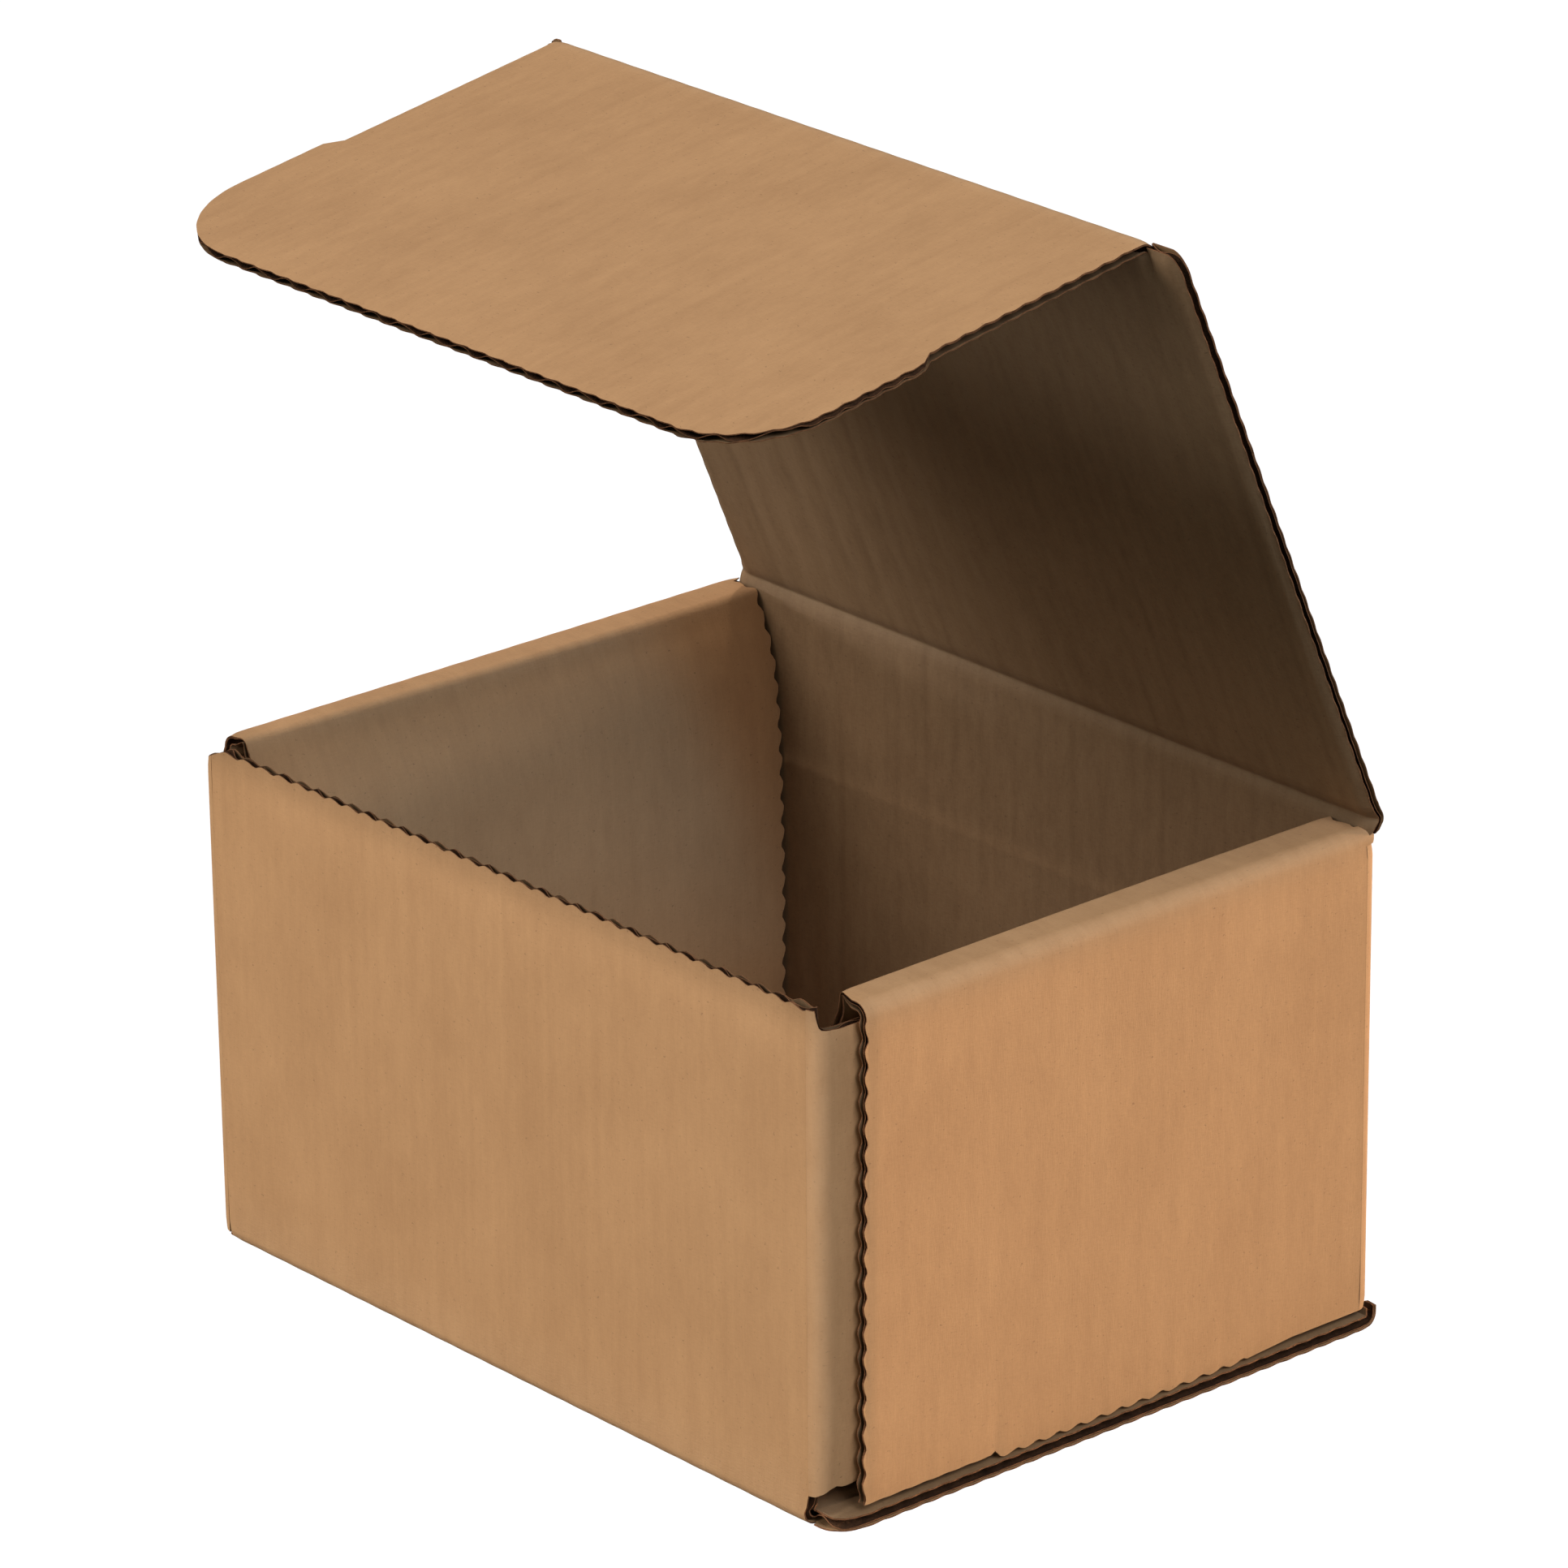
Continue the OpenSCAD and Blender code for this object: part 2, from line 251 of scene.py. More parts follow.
kraft = {
    "light": (0.57, 0.315, 0.142, 1),
    "dark": (0.405, 0.212, 0.09, 1),
    "speck": (0.2, 0.1, 0.045, 1),
    "worn": (0.60, 0.36, 0.185, 1),
    "rough": 0.74,
    "specular": 0.32,
    # stretch across and along the flutes, turn in degrees, detail, roughness
    "grains": {
        "fibres": ((3.2, 0.6), 7, 4, 0.6),
        "crossing": ((0.8, 3.0), 62, 3, 0.6),
        "third": ((0.9, 3.1), -48, 3, 0.6),
        "mottle": ((0.42, 0.17), 4, 3, 0.6),
        "cloud": ((0.06, 0.045), 0, 2, 0.5),
        "streak": ((0.55, 0.02), 0, 2, 0.5),
        "drift": ((0.13, 0.008), 0, 2, 0.6),
        "speck": ((1.1, 1.5), 33, 2, 0.7),
    },
    # shares of the grains in the tone, the roughness and the relief
    "tones": {"fibres": 0.34, "crossing": 0.2, "third": 0.2, "mottle": 0.4, "cloud": 0.5, "streak": 0.3},
    "roughShares": {"fibres": 0.16, "mottle": 0.1, "wear": 0.08},
    "relief": {"fibres": 0.4, "crossing": 0.3, "third": 0.3, "mottle": 0.5, "wear": 1.2},
    "speckFrom": 0.69,
    "speckSharp": 9,
    "speckShare": 0.55,
    "driftFrom": 0.38,
    "driftSharp": 3,
    "wearLeast": 0.15,
    "wearMottled": 0.6,
    "bump": {"Strength": 0.5, "Distance": 0.00008},
}


# brown liner: fibres and streaks run along the flutes, clouds and specks lie over them,
# and the flutes show as faint stripes of painted shade, as from the washboard relief
def makeKraft(name, stripes, shade=(1, 1, 1)):
    material, tree = newMaterial(name)
    uv = addNode(tree, "ShaderNodeUVMap", {"uv_map": "blank"})
    sheet = addNode(tree, "ShaderNodeVectorMath", {"operation": "SCALE"}, {0: uv, "Scale": 1 / mm})

    def grain(key):
        stretch, turn, detail, rough = kraft["grains"][key]
        turned = addNode(tree, "ShaderNodeMapping", None, {
            "Vector": sheet, "Rotation": (0, 0, math.radians(turn)), "Scale": (*stretch, 1),
        })
        return addNode(tree, "ShaderNodeTexNoise", {"noise_dimensions": "2D"}, {
            "Vector": turned, "Scale": 1.0, "Detail": detail, "Roughness": rough,
        })

    def shaded(tint):
        return (*[c * k for c, k in zip(kraft[tint], shade)], 1)

    fibres, crossing, third, mottle = (grain(key) for key in ("fibres", "crossing", "third", "mottle"))
    cloud, streak, drift, speck = (grain(key) for key in ("cloud", "streak", "drift", "speck"))
    across = addNode(tree, "ShaderNodeSeparateXYZ", None, {0: sheet})
    wave = (across * (2 * math.pi / board["flutePitch"])).sine()
    # painted shade: a dark line over each flute's valley, as from the washboard relief, stronger on some than on
    # others
    valleyShade = (wave * 0.5 + 0.5) ** 4  # a line over each flute's valley, stronger on some than on others
    stripe = valleyShade * ((drift - kraft["driftFrom"]) * kraft["driftSharp"]).clamped()
    tones = kraft["tones"]
    fine = (
        (fibres - 0.5) * tones["fibres"] + (crossing - 0.5) * tones["crossing"]
        + (third - 0.5) * tones["third"] + (mottle - 0.5) * tones["mottle"]
    )
    wide = (cloud - 0.5) * tones["cloud"] + (streak - 0.5) * tones["streak"]
    # the dark valley lines and the soft wave across each flute are painted shade of the washboard relief
    tone = 0.5 + fine * stripes["grain"] + wide - stripe * stripes["dark"] + wave * stripes["soft"]
    colour = addNode(tree, "ShaderNodeMix", {"data_type": "RGBA"}, {
        "Factor": tone.clamped(), 6: shaded("dark"), 7: shaded("light"),
    }, 2)
    spotted = ((speck - kraft["speckFrom"]) * kraft["speckSharp"]).clamped()
    colour = addNode(tree, "ShaderNodeMix", {"data_type": "RGBA"}, {
        "Factor": spotted * kraft["speckShare"], 6: colour, 7: shaded("speck"),
    }, 2)
    wear = addNode(tree, "ShaderNodeAttribute", {"attribute_name": "foldWear"}, None, 2)
    colour = addNode(tree, "ShaderNodeMix", {"data_type": "RGBA"}, {
        "Factor": (wear * (kraft["wearLeast"] + mottle * kraft["wearMottled"])).clamped(),
        6: colour, 7: shaded("worn"),
    }, 2)
    rough, relief = kraft["roughShares"], kraft["relief"]
    roughness = (
        kraft["rough"] + (fibres - 0.5) * rough["fibres"] + (mottle - 0.5) * rough["mottle"] + wear * rough["wear"]
    )
    height = (
        fibres * relief["fibres"] + crossing * relief["crossing"] + third * relief["third"]
        + mottle * relief["mottle"] - wave * stripes["bump"] + wear * (crossing - 0.5) * relief["wear"]
    )
    closeMaterial(tree, colour, roughness, height, kraft["bump"], kraft["specular"])
    return material


cut = {
    "light": (0.34, 0.145, 0.062, 1),
    "dark": (0.06, 0.024, 0.01, 1),
    # the waved paper's colours: near black, painted shade inside the flute holes
    "shadedWaveLight": (0.1, 0.043, 0.018, 1),
    "shadedWaveDark": (0.016, 0.008, 0.004, 1),
    "rough": 0.9,
    "specular": 0.15,
    "grains": {"fine": (3.2, 3), "torn": (1.1, 4), "patch": (0.28, 2)},  # scale, detail
    "tones": {"fine": 0.8, "torn": 1.1, "patch": 0.8},
    "tornRough": 0.12,
    "fineRelief": 0.6,
    "bump": {"Strength": 0.8, "Distance": 0.0003},
}


# torn and pressed paper on the cut edges, and the waved paper between the liners, whose near-black colours are
# painted shade inside the flute holes
def makeCutPaper(name, light, dark):
    material, tree = newMaterial(name)
    place = addNode(tree, "ShaderNodeTexCoord", None, None, 3)
    sheet = addNode(tree, "ShaderNodeVectorMath", {"operation": "SCALE"}, {0: place, "Scale": 1 / mm})

    def grain(key):
        scale, detail = cut["grains"][key]
        return addNode(tree, "ShaderNodeTexNoise", None, {
            "Vector": sheet, "Scale": scale, "Detail": detail, "Roughness": 0.65,
        })

    fine, torn, patch = grain("fine"), grain("torn"), grain("patch")
    tones = cut["tones"]
    tone = 0.5 + (fine - 0.5) * tones["fine"] + (torn - 0.5) * tones["torn"] + (patch - 0.5) * tones["patch"]
    colour = addNode(tree, "ShaderNodeMix", {"data_type": "RGBA"}, {"Factor": tone.clamped(), 6: dark, 7: light}, 2)
    roughness = cut["rough"] - (torn - 0.5) * cut["tornRough"]
    height = fine * cut["fineRelief"] + torn
    closeMaterial(tree, colour, roughness, height, cut["bump"], cut["specular"])
    return material


# the inner liner is the rougher one, and the painted shade of its flutes shows more; its colour is darkened and
# cooled, partly its own tone and partly painted shade for the box's shaded inside
outerStripes = {"dark": 0.06, "soft": 0.014, "bump": 0.3, "grain": 1.15}
innerStripes = {"dark": 0.42, "soft": 0.04, "bump": 0.9, "grain": 2.0}
kraftLiner = makeKraft("kraftLiner", outerStripes)
kraftInnerShaded = makeKraft("kraftInnerShaded", innerStripes, (0.5, 0.53, 0.56))
cutEdge = makeCutPaper("cutEdge", cut["light"], cut["dark"])
flutePaperShaded = makeCutPaper("flutePaperShaded", cut["shadedWaveLight"], cut["shadedWaveDark"])
print("materials made")


weld = {"sheets": 0.0000005, "lines": 0.000002, "corners": 0.000003}  # metres


# the board's build-up on a flat blank: two thin liners and the waved paper between them, all closed sheets
def makeBoardTree():
    tree = bpy.data.node_groups.new("corrugatedBoard", "GeometryNodeTree")
    sides = tree.interface
    sides.new_socket("Geometry", in_out="INPUT", socket_type="NodeSocketGeometry")
    for name, start in (("Board thickness", board["thick"] * mm), ("Liner thickness", board["liner"] * mm),
                        ("Wave thickness", board["wave"] * mm), ("Flute pitch", board["flutePitch"] * mm),
                        ("Washboard", board["washboard"] * mm)):
        socket = sides.new_socket(name, in_out="INPUT", socket_type="NodeSocketFloat")
        socket.default_value = start
    sides.new_socket("Geometry", in_out="OUTPUT", socket_type="NodeSocketGeometry")
    entry = tree.nodes.new("NodeGroupInput")
    flat, thick, liner, wave, pitch, sink = (Value(tree, s) for s in entry.outputs[:6])
    position = addNode(tree, "GeometryNodeInputPosition")
    along = addNode(tree, "ShaderNodeSeparateXYZ", None, {0: position})
    swing = (along * (2 * math.pi) / pitch).sine()
    room = (thick - liner * 2 - wave) * 0.5
    plies = (
        (0.5 * sink * (1 - swing), liner - 0.5 * sink, kraftLiner),
        (liner + room * (1 + swing), wave, flutePaperShaded),
        # the inner liner's darkened, cooled colour is partly painted shade
        (thick - liner, liner - 0.5 * sink * (1 + swing), kraftInnerShaded),
    )
    joined = tree.nodes.new("GeometryNodeJoinGeometry")
    for height, depth, paper in plies:
        lift = addNode(tree, "ShaderNodeCombineXYZ", None, {"Z": height})
        lifted = addNode(tree, "GeometryNodeSetPosition", None, {"Geometry": flat, "Offset": lift})
        extrude = tree.nodes.new("GeometryNodeExtrudeMesh")
        extrude.inputs["Individual"].default_value = False
        link(tree, extrude.inputs["Mesh"], lifted)
        link(tree, extrude.inputs["Offset"], addNode(tree, "ShaderNodeCombineXYZ", None, {"Z": 1.0}))
        link(tree, extrude.inputs["Offset Scale"], depth)
        under = addNode(tree, "GeometryNodeFlipFaces", None, {"Mesh": lifted})
        sided = addNode(tree, "GeometryNodeSetMaterial", None, {
            "Geometry": extrude.outputs["Mesh"], "Material": paper,
        })
        sided = addNode(tree, "GeometryNodeSetMaterial", None, {
            "Geometry": sided, "Selection": extrude.outputs["Side"], "Material": cutEdge,
        })
        backed = addNode(tree, "GeometryNodeSetMaterial", None, {"Geometry": under, "Material": paper})
        shell = tree.nodes.new("GeometryNodeJoinGeometry")
        for part in (backed, sided):
            link(tree, shell.inputs[0], part)
        closed = addNode(tree, "GeometryNodeMergeByDistance", None, {
            "Geometry": shell.outputs[0], "Distance": weld["sheets"],
        })
        link(tree, joined.inputs[0], closed)
    real = addNode(tree, "GeometryNodeRealizeInstances", None, {0: joined.outputs[0]})
    leave = tree.nodes.new("NodeGroupOutput")
    link(tree, leave.inputs[0], real)
    return tree


boardTree = makeBoardTree()
print("board tree made")


# the knife presses the board together beside a cut, hardest along the front wall's top
pinch = {
    "width": 1.7,
    "depth": 0.42,
    "anchor": 0.25,
    "base": 0.12,
    "frontTop": 0.55,
    "topRows": 3,  # the top's share of the front wall
    "fadeFrom": 58,
    "fadeOver": 6,
    "cornerFade": 4,
    "rows": (1.0, 1.9),  # lines beside the ends, where the pressing fades out
}
joinSlack = 0.06
pointsAtOnce = 2000


# how far points lie from the outline's cut edges; joins are the lines where another panel goes on
def rimDistance(points, outline, joins):
    a = np.array(outline)
    b = np.roll(a, -1, axis=0)
    free = np.ones(len(a), bool)
    for axis, value in joins:
        free &= ~((np.abs(a[:, axis] - value) < joinSlack) & (np.abs(b[:, axis] - value) < joinSlack))
    a, b = a[free], b[free]
    run = b - a
    squared = np.maximum((run ** 2).sum(1), 1e-9)
    known, where = np.unique(np.round(points, 3), axis=0, return_inverse=True)
    near = np.full(len(known), 1e9)
    for start in range(0, len(known), pointsAtOnce):
        part = known[start:start + pointsAtOnce, None] - a[None]
        share = np.clip((part * run).sum(2) / squared, 0, 1)
        near[start:start + pointsAtOnce] = np.sqrt(((part - share[..., None] * run) ** 2).sum(2)).min(1)
    return near[where.ravel()]


# a flat blank cut to an outline, with lines across it where it bends and along each flute
def flatBlank(outline, cuts, bendStep=9.0):
    low = np.array(outline).min(0)
    high = np.array(outline).max(0)
    cuts = cuts + [low[1] + d for d in pinch["rows"]] + [high[1] - d for d in pinch["rows"]]
    mesh = bmesh.new()
    mesh.faces.new([mesh.verts.new((s * mm, t * mm, 0)) for s, t in outline])
    fluteStep = board["flutePitch"] / board["fluteSteps"]
    fluteLines = range(math.ceil(low[0] / fluteStep), math.floor(high[0] / fluteStep) + 1)
    linesS = [fluteStep * i for i in fluteLines]
    linesT = sorted(t for t in cuts if low[1] < t < high[1])
    stops = [low[1]] + linesT + [high[1]]
    for a, b in zip(stops, stops[1:]):
        parts = math.ceil((b - a) / bendStep)
        linesT += [a + (b - a) * i / parts for i in range(1, parts)]
    for axis, lines in ((0, linesS), (1, linesT)):
        for value in lines:
            point = Vector((0, 0, 0))
            point[axis] = value * mm
            normal = Vector((0, 0, 0))
            normal[axis] = 1
            bmesh.ops.bisect_plane(mesh, geom=mesh.verts[:] + mesh.edges[:] + mesh.faces[:],
                                   plane_co=point, plane_no=normal, dist=weld["lines"])
    bmesh.ops.remove_doubles(mesh, verts=mesh.verts[:], dist=weld["corners"])
    bmesh.ops.triangulate(mesh, faces=[f for f in mesh.faces if len(f.verts) > 4])
    if sum(f.normal.z for f in mesh.faces) < 0:
        bmesh.ops.reverse_faces(mesh, faces=mesh.faces[:])
    return mesh


sharpAngle = math.radians(35)


# negative where the faces look inwards
def signedVolume(mesh):
    solid = bmesh.new()
    solid.from_mesh(mesh)
    volume = solid.calc_volume(signed=True)
    solid.free()
    return volume


# a panel of corrugated board: blank, build-up by the tree, then folded to its place
# sheetAt is where the panel lies on the whole blank, and which way round
def makePanel(name, outline, cuts, place, mirror=False, wear=None, sheetAt=(0, 0, 1, 1), bendStep=9.0,
              joins=(), pressing=lambda s, t: pinch["depth"]):
    blank = flatBlank(outline, cuts, bendStep)
    flatMesh = bpy.data.meshes.new(name)
    blank.to_mesh(flatMesh)
    blank.free()
    flat = bpy.data.objects.new(name + "Flat", flatMesh)
    bpy.context.scene.collection.objects.link(flat)
    layers = flat.modifiers.new("build-up", "NODES")
    layers.node_group = boardTree
    for item in boardTree.interface.items_tree:
        if item.in_out == "INPUT" and item.name == "Flute pitch":
            layers[item.identifier] = board["flutePitch"] * mm
    bpy.context.view_layer.update()
    evaluated = flat.evaluated_get(bpy.context.evaluated_depsgraph_get())
    mesh = bpy.data.meshes.new_from_object(evaluated)
    mesh.name = name
    bpy.data.objects.remove(flat)
    bpy.data.meshes.remove(flatMesh)
    flatAt = np.zeros(len(mesh.vertices) * 3)
    mesh.vertices.foreach_get("co", flatAt)
    flatAt = flatAt.reshape(-1, 3) / mm
    loops = np.zeros(len(mesh.loops), int)
    mesh.loops.foreach_get("vertex_index", loops)
    uv = mesh.uv_layers.new(name="blank")
    onSheet = flatAt[loops][:, :2] * np.array(sheetAt[2:]) + np.array(sheetAt[:2])
    uv.data.foreach_set("uv", (onSheet * mm).ravel())
    s, t, h = flatAt.T
    pressedIn = pressing(s, t) * (1 - smooth(rimDistance(flatAt[:, :2], outline, joins) / pinch["width"]))
    h = h + (pinch["anchor"] * board["thick"] - h) * pressedIn
    folded = np.array(place(s, t, h)).T
    if mirror:
        folded[:, 0] *= -1
    worn = mesh.attributes.new("foldWear", "FLOAT", "POINT")
    wornBy = np.zeros(len(s)) if wear is None else wear(s, t)
    worn.data.foreach_set("value", wornBy.astype(np.float32))
    mesh.vertices.foreach_set("co", (folded * mm).ravel())
    if signedVolume(mesh) < 0:
        mesh.flip_normals()
    mesh.update()
    mesh.shade_smooth()
    mesh.set_sharp_from_angle(angle=sharpAngle)
    panel = bpy.data.objects.new(name, mesh)
    bpy.context.scene.collection.objects.link(panel)
    print("panel", name, len(mesh.polygons), "faces")
    return panel


# panels of one piece, joined under one name
def joinPanels(name, panels):
    whole = bmesh.new()
    slots = []
    for panel in panels:
        for material in panel.data.materials:
            if material not in slots:
                slots.append(material)
    for panel in panels:
        where = [slots.index(m) for m in panel.data.materials]
        for polygon in panel.data.polygons:
            polygon.material_index = where[polygon.material_index]
        whole.from_mesh(panel.data)
    mesh = bpy.data.meshes.new(name)
    for material in slots:
        mesh.materials.append(material)
    whole.to_mesh(mesh)
    whole.free()
    for panel in panels:
        old = panel.data
        bpy.data.objects.remove(panel)
        bpy.data.meshes.remove(old)
    piece = bpy.data.objects.new(name, mesh)
    bpy.context.scene.collection.objects.link(piece)
    return piece


def near(t, at, width):
    return np.exp(-((t - at) / width) ** 2)


# where the other panels lie on the whole blank, for the paper's grain
sheetPlace = {"side": 500, "lid": 266, "tuck": 367}

# front wall, bottom and back wall: one strip of the blank, x across it
base = {
    "frontTop": 79.7,
    "wallX": 66.0,  # where the corner creases begin
    "creaseX": 65.0,  # how far the front crease goes on the right
    "cornerRadius": 6.4,
    "flapFoot": 5.4,
    "leftFoot": 2.6,
    "backX": 68.5,
    "backTop": 78.6,  # the hinge crease goes on from here
    "lipHeight": 3.4,
    "lipOut": 1.2,
    "lipFrom": 68.6,  # outside this x the board is lip
    "lipOver": 0.5,
    "lipRise": 1.5,
    "sideGap": 0.12,
    "footRound": 0.9,
    "arcDrop": 0.6,
    "arcDepth": 0.25,
    "sideDepth": 0.3,
    "topDepth": 0.75,
    "topFrom": -63.4,  # left of this the top edge is chamfered
    "topChamfer": (-64.2, 0.3),
    "leftTop": 1.2,
}
flare = {"out": 1.1, "from": 45, "over": 21, "flapFrom": 8, "flapOver": 20}
turnLength = board["creaseRadius"] * math.pi / 2
basePath = FoldPath((-box["halfW"], base["frontTop"]), -90)
basePath.run(base["frontTop"] - board["creaseRadius"]).turn(board["creaseRadius"], 90)
frontFoot = base["frontTop"] - board["creaseRadius"]
bottomStart = frontFoot + turnLength
bottomEnd = bottomStart + 2 * box["halfW"] - 2 * board["creaseRadius"]
basePath.run(bottomEnd - bottomStart).turn(board["creaseRadius"], 90).run(base["backTop"] - board["creaseRadius"])
backStart = bottomEnd + turnLength


# the left corner stands out a little towards its top
def flared(x, z):
    return x - flare["out"] * smooth((-x - flare["from"]) / flare["over"]) * np.clip(z / box["height"], 0, 1)


def placeBase(s, t, h):
    y, z = basePath.place(t, h)
    lip = smooth((np.abs(s) - base["lipFrom"]) / base["lipOver"])
    y = y + base["lipOut"] * lip * smooth((t - bottomEnd) / base["lipRise"])
    return np.where(t < bottomStart, flared(s, z), s), y, z


def baseHalf(foot, creaseX, top):
    sideX = box["halfL"] - base["sideGap"]
    r = base["cornerRadius"]
    lipEnd = backStart + base["lipHeight"] - board["creaseRadius"]
    edge = [
        (base["wallX"], top),
        (base["wallX"], base["frontTop"] - foot),
        ((base["wallX"] + creaseX) / 2, frontFoot - base["footRound"]),
        (creaseX, frontFoot),
        (creaseX, bottomStart),
    ]
    arcAt = bottomStart + r - board["creaseRadius"] + base["arcDrop"]
    edge += cutArc((sideX - r, arcAt), r, -75, 0, base["arcDepth"])
    edge += cutLine((sideX, arcAt), (sideX, bottomEnd), base["sideDepth"])
    edge += [(sideX, bottomEnd), (sideX, lipEnd)]
    edge += [(base["backX"] + 0.25, lipEnd + 0.2), (base["backX"], lipEnd + 0.6)]  # a small round
    return edge + [(base["backX"], basePath.length())]


def baseOutline():
    right = baseHalf(base["flapFoot"], base["creaseX"], 0.0)
    left = baseHalf(base["leftFoot"], base["wallX"] - 0.2, base["leftTop"])
    top = cutLine((base["topFrom"], 0), (base["wallX"], 0), base["topDepth"])
    return [base["topChamfer"]] + top + right + mirrored(left)


# pressed hard at the front wall's top, less towards the corners and little elsewhere
def basePressing(s, t):
    fade = 1 - smooth((np.abs(s) - pinch["fadeFrom"]) / pinch["fadeOver"])
    return pinch["base"] + (pinch["frontTop"] - pinch["base"]) * (t < pinch["topRows"]) * fade


baseBoard = makePanel(
    "baseBoard", baseOutline(), basePath.cuts(), placeBase, pressing=basePressing,
    joins=(*((0, way * base[x]) for x in ("wallX", "backX") for way in (1, -1)), (1, basePath.length())),
    wear=lambda s, t: 0.9 * near(t, frontFoot + 1.9, 2.2) + 0.9 * near(t, bottomEnd + 1.9, 2.2),
)

# corner flaps, hinged to the front wall and tucked behind the side walls
corner = {"x": 68.4, "foot": 5.4, "top": 76.3, "length": 42.0, "radius": 6.0}
cornerPath = FoldPath((corner["x"] - board["creaseRadius"], -box["halfW"]), 0)
cornerPath.turn(board["creaseRadius"], 90).run(corner["length"] - board["creaseRadius"])


def placeCorner(s, t, h):
    x, y = cornerPath.place(s, h)
    return x, y, t


def placeLeftCorner(s, t, h):
    x, y, z = placeCorner(s, t, h)
    held = 1 - smooth((s - flare["flapFrom"]) / flare["flapOver"])  # farther in, the side wall's plies hold it
    return x + flare["out"] * np.clip(z / box["height"], 0, 1) * held, y, z


def cornerOutline(side):
    end = cornerPath.length()
    r = corner["radius"]
    footFrom = (turnLength + 2.0, corner["foot"] + 0.9)
    points = side["foot"] + cutLine(footFrom, (end - r, corner["foot"]), 0.3)
    points += cutArc((end - r, corner["foot"] + r), r, -90, 0)
    points += cutLine((end, corner["foot"] + r), (end, corner["top"] - r))
    points += cutArc((end - r, corner["top"] - r), r, 0, 90)
    return points + [(end - r, corner["top"])] + side["top"] + [(0, side["end"])]


# the relief beside the front wall's top edge lies in the right crease; the left crease is nearly whole
cornerRight = {
    "foot": [(0, 5.4), (1.2, 5.5), (2.4, 5.9), (3.6, 6.4), (4.9, 6.6)],
    "top": [(8.5, 76.4), (5.8, 76.4), (3.5, 76.7), (2.5, 76.9), (2.1, 77.3), (1.8, 78.2), (1.45, 79.8)],
    "end": 79.8,
}
cornerLeft = {
    "foot": [(0, 1.6), (2.0, 1.9), (3.6, 4.0), (4.9, 5.4)],
    "top": [(8.0, 76.3), (6.4, 76.5), (5.2, 77.3), (3.8, 77.7), (1.7, 77.8)],
    "end": 78.5,
}


def cornerPressing(s, t):
    return pinch["base"] + (pinch["depth"] - pinch["base"]) * smooth(s / pinch["cornerFade"])


# the crease's rows run along the flutes here, so its lines are flute lines
def makeCorner(name, side, place, mirror):
    way = -1 if mirror else 1
    rows = [corner["top"] - d for d in pinch["rows"]]
    return makePanel(name, cornerOutline(side), rows, place, mirror=mirror, joins=((0, 0),),
                     wear=lambda s, t: 0.8 * near(s, 1.9, 2.0),
                     sheetAt=(way * base["wallX"], base["frontTop"], way, -1),
                     pressing=cornerPressing)


# a side wall: outer ply, roll over the top, inner ply and its tab, y across the strip
side = {
    "foot": 3.5,
    "restFoot": 2.85,
    "restFront": -21.7,
    "restBack": 28.0,
    "restSlope": 9.0,
    "outerBack": 50.7,
    "innerBack": 50.2,
    "innerFront": -44.1,
    "rollRadius": 2.5,
    "rollFlat": 4.5,
    "foldRadius": 1.6,
    "foldPress": 0.5,
    "foldPressWidth": 1.8,
    "tab": 19.0,
    "taperBack": 50,  # the roll narrows from here to the front
    "taperLength": 96,
    "taperPower": 1.5,
    "taperIn": 5.0,
    "taperOut": 14,
    "rollLap": 7,  # how far under the fold the inner ply's front edge reaches forward
    "frontDepth": 0.9,
    "footDepth": 0.15,
    "restDepth": 0.8,
    "rollEnd": [(52.0, 0), (52.4, 1.2), (52.3, 2.8), (51.4, 3.6)],  # the roll's back end, above its start
}
rollStart = box["height"] - side["rollRadius"]
sidePath = FoldPath((box["halfL"], 0), 90)
sidePath.run(rollStart).turn(side["rollRadius"], 90).run(side["rollFlat"])
sidePath.turn(side["foldRadius"], 62).through([
    (61.4, 76.7), (59.8, 73.2), (58.3, 67.5), (57.4, 58.0), (56.9, 45.0),
    (56.7, 31.0), (56.85, 14.0), (56.95, 2.75), (56.95, 0.3),
])
flatStart = rollStart + side["rollRadius"] * math.pi / 2
innerTop = next(row[0] for row in sidePath.rows if row[0] > flatStart + 4 and row[2] < 76.5)
innerEnd = sidePath.length() - 2.45


# the rolls are narrower at their front ends, so their plans taper
def placeSide(taper):
    def place(s, t, h):
        fold = flatStart + side["rollFlat"] + side["foldRadius"] * 0.5
        h = h * (1 - side["foldPress"] * near(t, fold, side["foldPressWidth"]))
        x, z = sidePath.place(t, h)
        share = np.clip((side["taperBack"] - s) / side["taperLength"], 0, 1) ** side["taperPower"]
        top = smooth((t - flatStart + 0.6) / side["taperIn"])
        top = top * (1 - smooth((t - innerTop - 1) / side["taperOut"]))
        return x + (taper[0] * share + taper[1] * (1 - share)) * top, s, z
    return place


